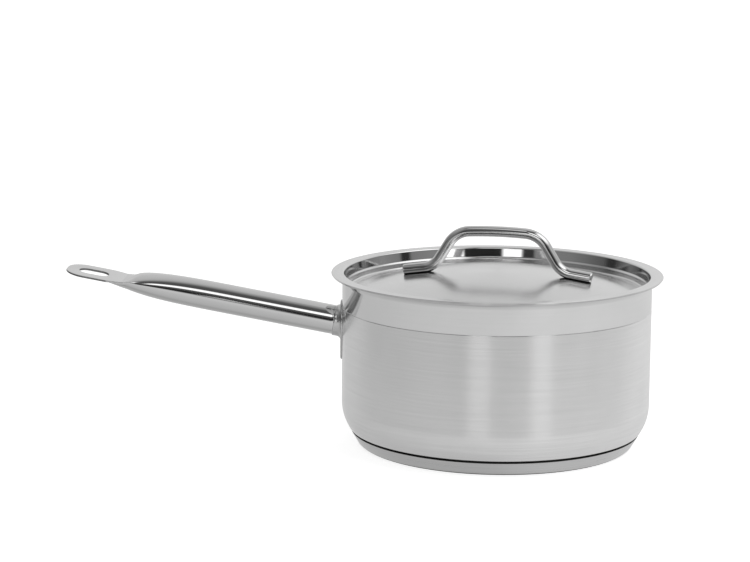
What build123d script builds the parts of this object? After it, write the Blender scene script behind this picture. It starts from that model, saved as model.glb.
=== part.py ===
"""Welded steel saucepan with a long tube handle and a lift-off pressed steel lid.

Millimetres. The origin is the centre of the flat underside, +Z is up and the handle points along -X.
"""
import os
from math import cos, radians, sin, sqrt, tan

from build123d import *

# Sheet thicknesses
PAN_WALL = 0.8
CAP_WALL = 0.7
LID_WALL = 0.8
TUBE_WALL = 0.7
PLATE_THICKNESS = 1.2

# Pan body: a straight wall, a rounded side that leans in below it, and a flared rim
PAN_INNER_RADIUS = 100.0
PAN_HEIGHT = 112.2
RIM_WIDTH = 7.3
RIM_FLARE = 4.2
SIDE_LEAN = 30.2
SIDE_STRAIGHT = 1.75
SIDE_ROUNDING = 29.4
HEEL_ROUNDING = 1.6

# Sandwich base: a steel cup closed over an aluminium disc, with an open seam below the pan's heel
CORE_THICKNESS = 9.8
CORE_FIT = 0.2
SEAM_GAP = 0.8
SEAM_DEPTH = 3.0
FOOT_ROUNDING = 4.8

# Handle tube: it stays round up to a distance from the pan's wall, then its top and its underside
# are pressed down to one wall each, the top over a shorter length
HANDLE_TILT = 10.2
HANDLE_ROLL = 3.0
HANDLE_HEIGHT = 78.9
TUBE_DIAMETER = 19.2
ROUND_LENGTH = 74.0
TOP_PRESS_LENGTH = 68.0
TOP_PRESS_BUILD = 3.6
TOP_PRESS_EASE = 0.6
UNDER_PRESS_LENGTH = 79.0
UNDER_PRESS_BUILD = 3.75
UNDER_PRESS_EASE = 0.8
CAVITY_LENGTH = 66.0

# Hanging tab at the end of the tube
TAB_LENGTH = 42.4
TAB_WIDTH = 31.0
TAB_CORNER = 12.9
SLOT_LENGTH = 19.5
SLOT_WIDTH = 12.0
SLOT_TO_TIP = 18.0

# Handle socket: a teardrop plate on the wall and a short neck round the tube's end
NECK_LENGTH = 5.2
NECK_WALL = 0.6
NECK_FILLET = 1.6
TUBE_INSERTION = 2.9
SOCKET_FIT = 0.03
PLATE_MARGIN = 3.6
PLATE_TOE_RADIUS = 6.0
PLATE_DROP = 24.5

# Lid: a flat flange, a stepped recess wall, a gutter and a dome
FLANGE_OVERHANG = 0.7
LID_CLEARANCE = 0.7
FLANGE_BEND = 1.2
RECESS_DRAFT = 8.0
STEP_DEPTH = 5.6
STEP_WIDTH = 0.8
STEP_HEIGHT = 1.2
STEP_ROUNDING = 1.3
LOWER_WALL = 1.5
GUTTER_ROUNDING = 3.0
CROWN_ABOVE_FLANGE = 1.3

# Lid handle: one round bar bent into a bow, with half spans along it and a turn about the lid's axis
BAR_DIAMETER = 7.0
BAR_RISE = 25.9
BAR_CROWN = 1.6
BAR_CROWN_RADIUS = 300.0
CORNER_SPAN = 27.4
KNEE_SPAN = 41.8
FOOT_SPAN = 62.5
CORNER_BEND = 17.0
KNEE_BEND = 14.0
FOOT_SEAT = 0.3
LID_TURN = 10.0

# How many steps the tube's sections are taken at, along the pressed length and along the keel after it
PRESS_STATIONS = 10
KEEL_STATIONS = 3

os.makedirs("parts", exist_ok=True)

# Levels and radii that several pieces share
pan_outer_radius = PAN_INNER_RADIUS + PAN_WALL
rim_radius = PAN_INNER_RADIUS + RIM_WIDTH
floor_underside = CAP_WALL + CORE_THICKNESS
side_tangent = SIDE_ROUNDING * tan(radians(SIDE_LEAN) / 2)
heel_tangent = HEEL_ROUNDING * tan(radians(90 - SIDE_LEAN) / 2)
side_length = side_tangent + SIDE_STRAIGHT + heel_tangent
side_corner_height = floor_underside + side_length * cos(radians(SIDE_LEAN))
tube_radius = TUBE_DIAMETER / 2
neck_bore = tube_radius + SOCKET_FIT
neck_radius = neck_bore + NECK_WALL
flange_top = PAN_HEIGHT + LID_WALL

# The lid's dome runs from its crown to the gutter, where it meets the gutter's round smoothly
upper_wall_radius = PAN_INNER_RADIUS - LID_CLEARANCE - LID_WALL
lower_wall_radius = upper_wall_radius - STEP_WIDTH
gutter_radius = lower_wall_radius - GUTTER_ROUNDING
gutter_height = flange_top - STEP_DEPTH - STEP_HEIGHT - LOWER_WALL
crown_height = flange_top + CROWN_ABOVE_FLANGE
gutter_drop = crown_height - gutter_height
dome_radius = (gutter_radius**2 + gutter_drop**2 - GUTTER_ROUNDING**2) / (
    2 * (gutter_drop + GUTTER_ROUNDING)
)
dome_centre = crown_height - dome_radius


def lean_radius(height):
    """Radius of the straight leaning line that the pan's side and the base cap share."""
    return pan_outer_radius - (side_corner_height - height) * tan(radians(SIDE_LEAN))


def dome_height(radius):
    """Height of the lid dome's upper face at a radius."""
    return dome_centre + sqrt(dome_radius**2 - radius**2)


# Pan body, drawn along its outer face
with BuildPart() as pan_body:
    with BuildSketch(Plane.XZ):
        with BuildLine():
            FilletPolyline(
                (0, floor_underside),
                (lean_radius(floor_underside), floor_underside),
                (pan_outer_radius, side_corner_height),
                (pan_outer_radius, PAN_HEIGHT - PAN_WALL),
                (rim_radius, PAN_HEIGHT - PAN_WALL),
                radius=[HEEL_ROUNDING, SIDE_ROUNDING, RIM_FLARE],
            )
            offset(amount=PAN_WALL, side=Side.LEFT)
        make_face()
    revolve(axis=Axis.Z)
pan_body.part.label = "pan_body"

# Base cap, a shallow cup whose side carries on the pan's leaning line up to the seam
cap_top = floor_underside - SEAM_GAP - CAP_WALL * sin(radians(SIDE_LEAN))
with BuildPart() as base_cap:
    with BuildSketch(Plane.XZ):
        with BuildLine():
            FilletPolyline(
                (0, 0),
                (lean_radius(0), 0),
                (lean_radius(cap_top), cap_top),
                radius=[FOOT_ROUNDING],
            )
            offset(amount=CAP_WALL, side=Side.LEFT)
        make_face()
    revolve(axis=Axis.Z)
base_cap.part.label = "base_cap"

# Base core, the aluminium disc that fills the cup, with its shoulder cut back behind the seam
core_inset = (CAP_WALL + CORE_FIT) / cos(radians(SIDE_LEAN))
seam_floor = cap_top - SEAM_GAP
shoulder_radius = lean_radius(seam_floor) - core_inset
with BuildPart() as base_core:
    with BuildSketch(Plane.XZ):
        with BuildLine():
            FilletPolyline(
                (0, CAP_WALL),
                (lean_radius(CAP_WALL) - core_inset, CAP_WALL),
                (shoulder_radius, seam_floor),
                radius=[FOOT_ROUNDING],
            )
            Polyline(
                (shoulder_radius, seam_floor),
                (shoulder_radius - SEAM_DEPTH, seam_floor),
                (shoulder_radius - SEAM_DEPTH, floor_underside),
                (0, floor_underside),
                (0, CAP_WALL),
            )
        make_face()
    revolve(axis=Axis.Z)
base_core.part.label = "base_core"

# Handle directions: out along the tube, and across it and up from it as the flat tab is turned
handle_out = Vector(-cos(radians(HANDLE_TILT)), 0, sin(radians(HANDLE_TILT)))
handle_side = Vector(0, -1, 0).rotate(Axis((0, 0, 0), handle_out), -HANDLE_ROLL)
handle_up = handle_out.cross(handle_side)
handle_root = Vector(-pan_outer_radius, 0, HANDLE_HEIGHT)


def across_handle(distance):
    """Plane square to the handle, at a distance along it from the wall."""
    return Plane(handle_root + handle_out * distance, x_dir=handle_side, z_dir=handle_out)


def along_handle(distance):
    """Plane of the handle's flat tab, with its origin at a distance from the wall."""
    return Plane(handle_root + handle_out * distance, x_dir=handle_out, z_dir=handle_up)


# Handle socket, cut to the pan's wall
with BuildPart() as handle_socket:
    with BuildSketch(Plane.YZ):
        with Locations((0, HANDLE_HEIGHT)):
            Circle(neck_radius + PLATE_MARGIN)
        with Locations((0, HANDLE_HEIGHT - PLATE_DROP + PLATE_TOE_RADIUS)):
            Circle(PLATE_TOE_RADIUS)
        make_hull()
    extrude(amount=-(pan_outer_radius + PLATE_THICKNESS))
    Cylinder(
        pan_outer_radius + PLATE_THICKNESS,
        PAN_HEIGHT,
        align=(Align.CENTER, Align.CENTER, Align.MIN),
        mode=Mode.INTERSECT,
    )
    with BuildSketch(across_handle(NECK_LENGTH)):
        Circle(neck_radius)
    extrude(amount=-2 * NECK_LENGTH)
    Cylinder(
        pan_outer_radius,
        PAN_HEIGHT,
        align=(Align.CENTER, Align.CENTER, Align.MIN),
        mode=Mode.SUBTRACT,
    )
    neck_face = handle_socket.faces().filter_by(GeomType.CYLINDER).filter_by(
        lambda face: abs(face.radius - neck_radius) < SOCKET_FIT
    )
    fillet(neck_face.edges().group_by(Axis.X)[-1], NECK_FILLET)
    with BuildSketch(across_handle(NECK_LENGTH)):
        Circle(neck_bore)
    extrude(amount=-TUBE_INSERTION, mode=Mode.SUBTRACT)
handle_socket.part.label = "handle_socket"

# Handle tube
top_press_end = ROUND_LENGTH + TOP_PRESS_LENGTH
tab_half_width = TAB_WIDTH / 2
tube_start = NECK_LENGTH - TUBE_INSERTION


def pressed_height(distance, press_length, build, ease):
    """Height of the tube's outer face from its middle plane, from round down to one wall."""
    share = min((distance - ROUND_LENGTH) / press_length, 1)
    return TUBE_WALL + (tube_radius - TUBE_WALL) * (1 - share**build) ** ease


def top_height(distance):
    """Height of the pressed tube's top above its middle plane."""
    return pressed_height(distance, TOP_PRESS_LENGTH, TOP_PRESS_BUILD, TOP_PRESS_EASE)


def under_height(distance):
    """Depth of the pressed tube's underside below its middle plane."""
    return pressed_height(distance, UNDER_PRESS_LENGTH, UNDER_PRESS_BUILD, UNDER_PRESS_EASE)


def pressed_half_width(distance):
    """Half width of the tube, which spreads to the tab's width as its two halves come together."""
    mean_square = (top_height(distance) ** 2 + under_height(distance) ** 2) / 2
    spread = (tube_radius**2 - mean_square) / (tube_radius**2 - TUBE_WALL**2)
    return sqrt(tube_radius**2 + (tab_half_width**2 - tube_radius**2) * spread)


def pressed_section(distance, inset):
    """Section of the pressed tube: an upper and a lower half ellipse that meet at the sides."""
    half_width = pressed_half_width(distance) - inset
    upper = top_height(distance) - inset
    lower = under_height(distance) - inset
    with BuildSketch(across_handle(distance)) as section:
        with BuildLine():
            EllipticalCenterArc((0, 0), half_width, upper, start_angle=0, arc_size=180)
            EllipticalCenterArc((0, 0), half_width, lower, start_angle=180, arc_size=180)
        make_face()
    return section.sketch


def keel_section(distance):
    """Section of the underside where the top is flat already: half an ellipse below the tab."""
    half_width = pressed_half_width(distance)
    lower = under_height(distance)
    with BuildSketch(across_handle(distance)) as section:
        with BuildLine():
            EllipticalCenterArc((0, 0), half_width, lower, start_angle=180, arc_size=180)
            Line((half_width, 0), (-half_width, 0))
        make_face()
    return section.sketch


def stations(start, length, count):
    """Evenly spaced distances along the handle, both ends included."""
    return [start + length * index / count for index in range(count + 1)]


keel_length = UNDER_PRESS_LENGTH - TOP_PRESS_LENGTH
tab_root_half_width = pressed_half_width(top_press_end)
with BuildPart() as handle_tube:
    with BuildSketch(along_handle(top_press_end)) as tab_outline:
        with BuildLine():
            Polyline(
                (0, -tab_root_half_width),
                (keel_length, -tab_half_width),
                (TAB_LENGTH, -tab_half_width),
                (TAB_LENGTH, tab_half_width),
                (keel_length, tab_half_width),
                (0, tab_root_half_width),
                close=True,
            )
        make_face()
        fillet(tab_outline.vertices().group_by(Axis.X)[-1], TAB_CORNER)
    extrude(amount=TUBE_WALL, both=True)
    keel_stations = stations(top_press_end, keel_length, KEEL_STATIONS)
    loft([keel_section(distance) for distance in keel_stations])
    press_stations = stations(ROUND_LENGTH, TOP_PRESS_LENGTH, PRESS_STATIONS)
    loft([pressed_section(distance, 0) for distance in press_stations])
    with BuildSketch(across_handle(tube_start)):
        Circle(tube_radius)
    extrude(amount=ROUND_LENGTH - tube_start)
    cavity_stations = stations(ROUND_LENGTH, CAVITY_LENGTH, PRESS_STATIONS)
    loft([pressed_section(distance, TUBE_WALL) for distance in cavity_stations], mode=Mode.SUBTRACT)
    with BuildSketch(across_handle(tube_start)):
        Circle(tube_radius - TUBE_WALL)
    extrude(amount=ROUND_LENGTH - tube_start, mode=Mode.SUBTRACT)
    with BuildSketch(along_handle(top_press_end)):
        with Locations((TAB_LENGTH - SLOT_TO_TIP, 0)):
            SlotOverall(SLOT_LENGTH, SLOT_WIDTH)
    extrude(amount=tube_radius, both=True, mode=Mode.SUBTRACT)
handle_tube.part.label = "handle_tube"

# Lid shell, drawn along its upper face from the crown to the flange's edge
dome_edge_radius = gutter_radius * dome_radius / (dome_radius + GUTTER_ROUNDING)
dome_edge = (dome_edge_radius, dome_height(dome_edge_radius))
step_top = flange_top - STEP_DEPTH
flange_root_radius = upper_wall_radius + STEP_DEPTH * tan(radians(RECESS_DRAFT))
with BuildPart() as lid_shell:
    with BuildSketch(Plane.XZ):
        with BuildLine():
            ThreePointArc(
                (0, crown_height),
                (dome_edge_radius / 2, dome_height(dome_edge_radius / 2)),
                dome_edge,
            )
            RadiusArc(dome_edge, (lower_wall_radius, gutter_height), -GUTTER_ROUNDING)
            FilletPolyline(
                (lower_wall_radius, gutter_height),
                (lower_wall_radius, step_top - STEP_HEIGHT),
                (upper_wall_radius, step_top),
                (flange_root_radius, flange_top),
                (rim_radius + FLANGE_OVERHANG, flange_top),
                radius=[STEP_ROUNDING, STEP_ROUNDING, FLANGE_BEND],
            )
            offset(amount=LID_WALL, side=Side.RIGHT)
        make_face()
    revolve(axis=Axis.Z)
lid_shell.part.label = "lid_shell"

# Lid handle, with feet cut to sit on the dome
bar_radius = BAR_DIAMETER / 2
bar_lift = bar_radius - FOOT_SEAT
bar_side = Vector(0, -1, 0).rotate(Axis.Z, -LID_TURN)
bar_along = Vector(1, 0, 0).rotate(Axis.Z, -LID_TURN)
corner_height = flange_top + BAR_RISE
with BuildPart() as lid_handle:
    with BuildLine(Plane((0, 0, 0), x_dir=bar_along, z_dir=bar_side)) as bar_path:
        FilletPolyline(
            (-FOOT_SPAN, dome_height(FOOT_SPAN) + bar_lift),
            (-KNEE_SPAN, dome_height(KNEE_SPAN) + bar_lift),
            (-CORNER_SPAN, corner_height),
            (0, corner_height + BAR_CROWN),
            (CORNER_SPAN, corner_height),
            (KNEE_SPAN, dome_height(KNEE_SPAN) + bar_lift),
            (FOOT_SPAN, dome_height(FOOT_SPAN) + bar_lift),
            radius=[KNEE_BEND, CORNER_BEND, BAR_CROWN_RADIUS, CORNER_BEND, KNEE_BEND],
        )
    with BuildSketch(Plane(bar_path.wire() @ 0, z_dir=bar_path.wire() % 0)):
        Circle(bar_radius)
    sweep(path=bar_path.wire())
    with Locations((0, 0, dome_centre)):
        Sphere(dome_radius, mode=Mode.SUBTRACT)
lid_handle.part.label = "lid_handle"

for piece in (pan_body, base_cap, base_core, handle_socket, handle_tube, lid_shell, lid_handle):
    export_step(piece.part, f"parts/{piece.part.label}.step")
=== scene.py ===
"""Studio picture of a welded steel saucepan with a lift-off pressed steel lid.

Metres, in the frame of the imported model: +Z up, the handle along -X, the pan standing on Z = 0.
"""
from math import asin, atan2, ceil, cos, hypot, pi, radians, sin, sqrt, tan

import bmesh
import bpy
from mathutils import Matrix, Vector


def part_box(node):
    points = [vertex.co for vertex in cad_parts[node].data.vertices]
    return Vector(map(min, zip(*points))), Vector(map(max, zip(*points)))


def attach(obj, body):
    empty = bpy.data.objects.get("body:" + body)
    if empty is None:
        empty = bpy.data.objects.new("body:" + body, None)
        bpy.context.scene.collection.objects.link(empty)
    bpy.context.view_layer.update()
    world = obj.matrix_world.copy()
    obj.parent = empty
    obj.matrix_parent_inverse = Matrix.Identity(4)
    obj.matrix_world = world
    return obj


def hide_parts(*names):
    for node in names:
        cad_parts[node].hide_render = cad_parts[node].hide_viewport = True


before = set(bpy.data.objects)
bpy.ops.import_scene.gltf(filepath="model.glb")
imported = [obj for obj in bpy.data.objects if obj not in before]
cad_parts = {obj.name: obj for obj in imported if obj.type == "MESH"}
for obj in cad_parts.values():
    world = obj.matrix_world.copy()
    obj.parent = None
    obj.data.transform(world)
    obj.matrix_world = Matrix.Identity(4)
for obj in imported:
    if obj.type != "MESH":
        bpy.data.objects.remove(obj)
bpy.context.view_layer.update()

MM = 0.001

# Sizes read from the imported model
PAN_LOW, PAN_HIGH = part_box("pan_body")
LID_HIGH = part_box("lid_shell")[1]

# Sheet thicknesses
PAN_WALL = 0.8 * MM
CAP_WALL = 0.7 * MM
LID_WALL = 0.8 * MM
TUBE_WALL = 0.7 * MM
PLATE_THICKNESS = 1.2 * MM

# Pan body
PAN_RADIUS = 100.8 * MM
RIM_RADIUS = PAN_HIGH[0]
RIM_TOP = PAN_HIGH[2]
FLOOR_UNDERSIDE = PAN_LOW[2]
RIM_FLARE = 4.2 * MM
SIDE_LEAN = radians(30.2)
SIDE_STRAIGHT = 1.75 * MM
SIDE_ROUNDING = 29.4 * MM
HEEL_ROUNDING = 1.6 * MM
BAND_LOW = 91.3 * MM
BAND_GROOVE = 0.2 * MM
BAND_GROOVE_WIDTH = 0.6 * MM

# Sandwich base
SEAM_GAP = 0.8 * MM
# How far the painted shade reaches from the seam on the pan and on the base cap
SEAM_SHADE_BAND = 0.35 * MM
FOOT_ROUNDING = 4.8 * MM

# Handle
HANDLE_TILT = radians(10.2)
HANDLE_ROLL = radians(3.0)
HANDLE_HEIGHT = 78.9 * MM
TUBE_RADIUS = 9.6 * MM
TUBE_START = 2.3 * MM
ROUND_LENGTH = 62.344 * MM
TOP_PRESS_LENGTH = 79.71 * MM
TOP_PRESS_BUILD = 3.922
TOP_PRESS_EASE = 0.422
UNDER_PRESS_LENGTH = 93.656 * MM
UNDER_PRESS_BUILD = 4.893
UNDER_PRESS_EASE = 0.862
PRESS_SOFTENING = 4.0 * MM
FOLD_RISE = 0.3
FLAT_BLEND = 1.0 * MM
TWIST_START = 140.5 * MM
TAB_LENGTH = 28.4 * MM
TAB_HALF_WIDTH = 15.5 * MM
TAB_CORNER = 12.9 * MM
SLOT_LENGTH = 19.5 * MM
SLOT_WIDTH = 12.0 * MM
SLOT_TO_TIP = 18.0 * MM
SLOT_EDGE = 0.3 * MM
FOLD_STRIP = 1.2 * MM
# Share of the tab's half thickness at its rim that takes the painted shade
RIM_SHADE_SHARE = 0.75

# Handle socket
NECK_LENGTH = 5.2 * MM
NECK_RADIUS = 10.23 * MM
NECK_BORE = 9.63 * MM
NECK_EDGE = 0.2 * MM
NECK_FILLET = 3.0 * MM
PLATE_MARGIN = 3.6 * MM
PLATE_TOE_RADIUS = 6.0 * MM
PLATE_DROP = 24.5 * MM
PLATE_EDGE = 0.5 * MM

# Lid
FLANGE_RADIUS = LID_HIGH[0]
FLANGE_TOP = RIM_TOP + LID_WALL
UPPER_WALL_RADIUS = 98.5 * MM
RECESS_DRAFT = radians(10.0)
STEP_WIDTH = 0.8 * MM
STEP_DEPTH = 6.6 * MM
STEP_HEIGHT = 1.2 * MM
STEP_ROUNDING = 1.3 * MM
LOWER_WALL = 2.0 * MM
GUTTER_ROUNDING = 1.5 * MM
FLANGE_BEND = 1.2 * MM
CROWN_HEIGHT = LID_HIGH[2]

# Lid handle
BAR_RADIUS = 3.5 * MM
BAR_RISE = 25.9 * MM
BAR_CROWN = 1.6 * MM
BAR_CROWN_RADIUS = 300.0 * MM
CORNER_SPAN = 27.4 * MM
KNEE_SPAN = 41.8 * MM
FOOT_SPAN = 62.5 * MM
CORNER_BEND = 17.0 * MM
KNEE_BEND = 14.0 * MM
FOOT_SEAT = 0.3 * MM
BAR_END_EDGE = 1.3 * MM
LID_TURN = radians(10.0)
# Painted shade under the feet: a foot's underside is painted dark where its face points down by more than
# this share
FOOT_SHADE_SHARE = 0.65

# Camera, as fitted to the photograph
PHOTO_WIDTH_PX = 750
FOCAL_PX = 2400.0
SENSOR_WIDTH = 36.0
CAMERA_PLACE = (0.0, -1.54222, 0.38796)
CAMERA_PITCH = 0.18057
CAMERA_YAW = -0.05155
CAMERA_ROLL = 0.0068

# Mesh fineness
LATHE_SEGMENTS = 288
ARC_STEP = radians(6.0)
FEWEST_ARC_STEPS = 4
EDGE_STEPS = 4
SUPPORT = 0.15 * MM
STRAIGHT_STEP = 4.0 * MM
MERGE = 0.001 * MM
QUARTER_POINTS = 40
ROUND_STEPS = 12
PRESS_STEPS = 160
SOFTENING_STEPS = 4
SLOT_END_STEPS = 24
SOCKET_STEPS = 128
FILLET_STEPS = 12
FILLET_TRIES = 6
PLATE_STEPS = 8
PLATE_HALVINGS = 40
BAR_SIDES = 64
BAR_BEND_POINTS = 24


# Nodes of materials, the world and shape trees


def add_node(tree, kind, inputs=None, **settings):
    """A new node, with its settings, and with its sockets linked or set."""
    fresh = tree.nodes.new(kind)
    for name, value in settings.items():
        setattr(fresh, name, value)
    for name, value in (inputs or {}).items():
        if isinstance(value, bpy.types.NodeSocket):
            tree.links.new(value, fresh.inputs[name])
        else:
            fresh.inputs[name].default_value = value
    return fresh


def calculate(tree, operation, *values):
    """The result of one sum on sockets or numbers."""
    return add_node(tree, "ShaderNodeMath", dict(enumerate(values)), operation=operation).outputs[0]


def ramp(tree, value, stops, span):
    """A grey ramp from (degrees, grey) stops, over a value that goes from 0 to 1 across the span."""
    fresh = add_node(tree, "ShaderNodeValToRGB", {"Fac": value})
    elements = fresh.color_ramp.elements
    while len(elements) < len(stops):
        elements.new(1.0)
    for element, (angle, grey) in zip(elements, stops):
        element.position = 0.5 + angle / span
        element.color = (grey, grey, grey, 1.0)
    return fresh.outputs["Color"]


def blend(tree, factor, first, second):
    """First at factor 0, second at factor 1."""
    mixer = add_node(tree, "ShaderNodeMix", {"Factor": factor}, data_type="FLOAT")
    for socket, value in ((mixer.inputs[2], first), (mixer.inputs[3], second)):
        if isinstance(value, bpy.types.NodeSocket):
            tree.links.new(value, socket)
        else:
            socket.default_value = value
    return mixer.outputs[0]


# Outlines made of straight runs and rounded corners


def left_of(direction):
    """The direction a quarter turn to the left."""
    return Vector((-direction.y, direction.x))


def straight_points(start, end, direction):
    """A straight run, with extra points close to its ends to keep its shading flat."""
    length = (end - start).length
    count = max(1, ceil(length / STRAIGHT_STEP))
    along = [length * step / count for step in range(count + 1)]
    if length > 4 * SUPPORT:
        along = sorted(along + [SUPPORT, length - SUPPORT])
    return [(start + direction * distance, left_of(direction)) for distance in along]


def arc_points(start, direction, turn, rounding):
    """The inside of one rounded corner, without its two ends."""
    side = 1 if turn > 0 else -1
    centre = start + left_of(direction) * rounding * side
    count = max(FEWEST_ARC_STEPS, ceil(abs(turn) / ARC_STEP))
    points = []
    for step in range(1, count):
        heading = direction.copy()
        heading.rotate(Matrix.Rotation(turn * step / count, 2))
        points.append((centre - left_of(heading) * rounding * side, left_of(heading)))
    return points


def rounded_path(corners):
    """Points along a flat path of (x, y, rounding) corners, each with its left-hand normal."""
    places = [Vector((x, y)) for x, y, rounding in corners]
    path = []
    start = places[0]
    for index in range(1, len(places) - 1):
        before = (places[index] - places[index - 1]).normalized()
        after = (places[index + 1] - places[index]).normalized()
        turn = atan2(before.x * after.y - before.y * after.x, before.dot(after))
        rounding = corners[index][2]
        reach = rounding * tan(abs(turn) / 2)
        end = places[index] - before * reach
        path += straight_points(start, end, before)
        if rounding:
            path += arc_points(end, before, turn, rounding)
        start = places[index] + after * reach
    path += straight_points(start, places[-1], (places[-1] - start).normalized())
    return path


def sheet_section(path, thickness):
    """Section of a turned sheet: out along the path, round its edge, and back on the other side."""
    end, normal = path[-1]
    forward = (end - path[-2][0]).normalized()
    turn_in = end - forward * thickness / 2
    kept = [item for item in path if (turn_in - item[0]).dot(forward) > MERGE] + [(turn_in, normal)]
    face = [point for point, side in kept]
    back = [point + side * thickness for point, side in reversed(kept)]
    middle = turn_in + normal * thickness / 2
    count = ceil(pi / (2 * ARC_STEP))
    edge = []
    for step in range(1, count):
        angle = pi * step / count
        edge.append(middle + (forward * sin(angle) - normal * cos(angle)) * thickness / 2)
    section = []
    for point in face + edge + back:
        if not section or (point - section[-1]).length > MERGE:
            section.append(Vector((max(point.x, 0.0), point.y)))
    return section


SIDE_TANGENT = SIDE_ROUNDING * tan(SIDE_LEAN / 2)
HEEL_TANGENT = HEEL_ROUNDING * tan((pi / 2 - SIDE_LEAN) / 2)
SIDE_CORNER_HEIGHT = FLOOR_UNDERSIDE + (SIDE_TANGENT + SIDE_STRAIGHT + HEEL_TANGENT) * cos(SIDE_LEAN)


def lean_radius(height):
    """Radius of the straight leaning line that the pan's side and the base cap share."""
    return PAN_RADIUS - (SIDE_CORNER_HEIGHT - height) * tan(SIDE_LEAN)


def pan_section():
    """The pan along its outer face, with the fine line that the polishing wheel left under the band."""
    path = rounded_path([
        (0, FLOOR_UNDERSIDE, 0),
        (lean_radius(FLOOR_UNDERSIDE), FLOOR_UNDERSIDE, HEEL_ROUNDING),
        (PAN_RADIUS, SIDE_CORNER_HEIGHT, SIDE_ROUNDING),
        (PAN_RADIUS, RIM_TOP - PAN_WALL, RIM_FLARE),
        (RIM_RADIUS, RIM_TOP - PAN_WALL, 0),
    ])
    section = sheet_section(path, PAN_WALL)
    half_groove = BAND_GROOVE_WIDTH / 2
    above = next(index for index, point in enumerate(section) if point.y > BAND_LOW + BAND_GROOVE_WIDTH)
    below = max(index for index in range(above) if section[index].y < BAND_LOW - BAND_GROOVE_WIDTH)
    section[below + 1:above] = [
        Vector((PAN_RADIUS, BAND_LOW - half_groove - SUPPORT)),
        Vector((PAN_RADIUS, BAND_LOW - half_groove)),
        Vector((PAN_RADIUS - BAND_GROOVE, BAND_LOW)),
        Vector((PAN_RADIUS, BAND_LOW + half_groove)),
        Vector((PAN_RADIUS, BAND_LOW + half_groove + SUPPORT)),
    ]
    return section


CAP_TOP = FLOOR_UNDERSIDE - SEAM_GAP - CAP_WALL * sin(SIDE_LEAN)


def cap_section():
    """The base cap along its outer face, up to the seam under the pan."""
    path = rounded_path([
        (0, 0, 0),
        (lean_radius(0), 0, FOOT_ROUNDING),
        (lean_radius(CAP_TOP), CAP_TOP, 0),
    ])
    return sheet_section(path, CAP_WALL)


# The lid's dome meets the gutter's round smoothly
LOWER_WALL_RADIUS = UPPER_WALL_RADIUS - STEP_WIDTH
GUTTER_RADIUS = LOWER_WALL_RADIUS - LOWER_WALL * tan(RECESS_DRAFT) - GUTTER_ROUNDING / cos(RECESS_DRAFT)
GUTTER_HEIGHT = FLANGE_TOP - STEP_DEPTH - STEP_HEIGHT - LOWER_WALL
GUTTER_DROP = CROWN_HEIGHT - GUTTER_HEIGHT
DOME_RADIUS = (GUTTER_RADIUS**2 + GUTTER_DROP**2 - GUTTER_ROUNDING**2) / (
    2 * (GUTTER_DROP + GUTTER_ROUNDING)
)
DOME_CENTRE = CROWN_HEIGHT - DOME_RADIUS


def dome_height(radius):
    """Height of the lid dome's upper face at a radius."""
    return DOME_CENTRE + sqrt(DOME_RADIUS**2 - radius**2)


def lid_section():
    """The lid along its upper face, drawn inwards from the flange so that its body lies below."""
    wall_top = UPPER_WALL_RADIUS + STEP_DEPTH * tan(RECESS_DRAFT)
    down = Vector((-sin(RECESS_DRAFT), -cos(RECESS_DRAFT)))
    gutter_start = Vector((GUTTER_RADIUS, GUTTER_HEIGHT)) + left_of(down) * GUTTER_ROUNDING
    path = rounded_path([
        (FLANGE_RADIUS, FLANGE_TOP, 0),
        (wall_top, FLANGE_TOP, FLANGE_BEND),
        (UPPER_WALL_RADIUS, FLANGE_TOP - STEP_DEPTH, STEP_ROUNDING),
        (LOWER_WALL_RADIUS, FLANGE_TOP - STEP_DEPTH - STEP_HEIGHT, STEP_ROUNDING),
        (*gutter_start, 0),
    ])
    dome_slope = asin(GUTTER_RADIUS / (DOME_RADIUS + GUTTER_ROUNDING))
    path += arc_points(gutter_start, down, RECESS_DRAFT - pi / 2 - dome_slope, GUTTER_ROUNDING)
    dome_edge = DOME_RADIUS * sin(dome_slope)
    rings = ceil(dome_edge / STRAIGHT_STEP)
    for ring in range(rings + 1):
        radius = dome_edge * (1 - ring / rings)
        slope = asin(radius / DOME_RADIUS)
        path.append((Vector((radius, dome_height(radius))), Vector((-sin(slope), -cos(slope)))))
    return sheet_section(list(reversed(path)), LID_WALL)


# Shape trees: one turns a section on a lathe, one bends a bar along a path


def new_tree(name, sizes):
    """A shape tree with named inputs, its group input node and its group output node."""
    tree = bpy.data.node_groups.new(name, "GeometryNodeTree")
    tree.interface.new_socket("Geometry", in_out="INPUT", socket_type="NodeSocketGeometry")
    for label, kind in sizes:
        tree.interface.new_socket(label, in_out="INPUT", socket_type=kind)
    tree.interface.new_socket("Geometry", in_out="OUTPUT", socket_type="NodeSocketGeometry")
    given = tree.nodes.new("NodeGroupInput")
    made = tree.nodes.new("NodeGroupOutput")
    return tree, given, made


def finish_tree(tree, shape, given, made):
    """The end of a tree: plain smooth geometry with its finish on it."""
    smooth = add_node(tree, "GeometryNodeSetShadeSmooth", {"Geometry": shape})
    plain = add_node(tree, "GeometryNodeRealizeInstances", {"Geometry": smooth.outputs[0]})
    dressed = add_node(tree, "GeometryNodeSetMaterial", {
        "Geometry": plain.outputs[0],
        "Material": given.outputs["Finish"],
    })
    tree.links.new(dressed.outputs[0], made.inputs[0])


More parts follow.
